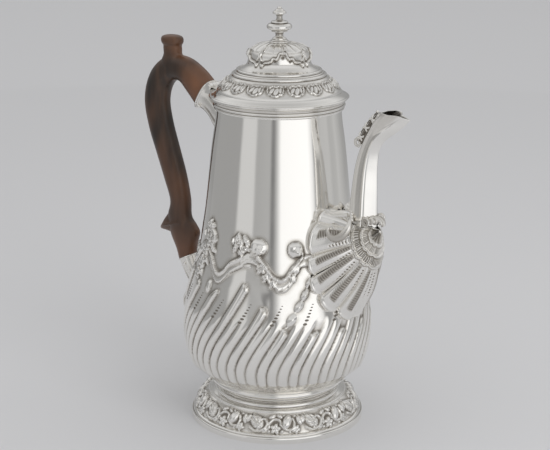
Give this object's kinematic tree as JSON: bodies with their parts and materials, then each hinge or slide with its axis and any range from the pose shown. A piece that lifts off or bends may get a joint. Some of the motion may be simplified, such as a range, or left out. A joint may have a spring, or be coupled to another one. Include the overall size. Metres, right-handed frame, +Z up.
{
  "type": "coffee pot",
  "caption": "Silver coffee pot with spiral-fluted pear body, chased borders, hinged domed lid, curved spout and carved dark wooden handle.",
  "frame": {"origin": "centre of the foot's resting ring, on the surface that the pot stands on", "axes": "+Z up, +X towards the spout, -X towards the handle, hinge pin along Y"},
  "size_m": [0.2267, 0.1252, 0.28],
  "materials": {
    "polished_silver": "polished",
    "chased_silver": "polished, darker in the hollows",
    "dark_wood": "satin"
  },
  "bodies": {
    "pot": {"body_shell": "polished_silver", "rim_moulding": "polished_silver", "body_base_wire": "polished_silver", "foot_dome": "chased_silver", "foot_rim": "polished_silver", "hinge_pin": "polished_silver", "hinge_body_leaf": "polished_silver", "upper_handle_pin": "polished_silver", "lower_handle_pin": "polished_silver", "upper_handle_socket": "polished_silver", "lower_handle_socket": "polished_silver", "wooden_handle": "dark_wood", "lower_socket_scroll": "chased_silver", "upper_socket_drop": "chased_silver", "spout_left_half": "polished_silver", "spout_right_half": "polished_silver", "spout_crest": "chased_silver", "spout_bracket": "chased_silver", "spout_shell_left": "chased_silver", "spout_shell_right": "chased_silver"},
    "lid": {"lid_dome": "chased_silver", "lid_edge_moulding": "polished_silver", "lid_bezel": "polished_silver", "finial_seat": "polished_silver", "finial": "polished_silver", "finial_stud": "polished_silver", "finial_nut": "polished_silver", "hinge_lid_leaf": "polished_silver"}
  },
  "joints": [
    {"name": "lid_hinge", "type": "hinge", "parent": "pot", "child": "lid", "pos_m": [-0.0558, 0, 0.2215], "axis": [0, -1, 0], "range_deg": [0, 97]}
  ]
}
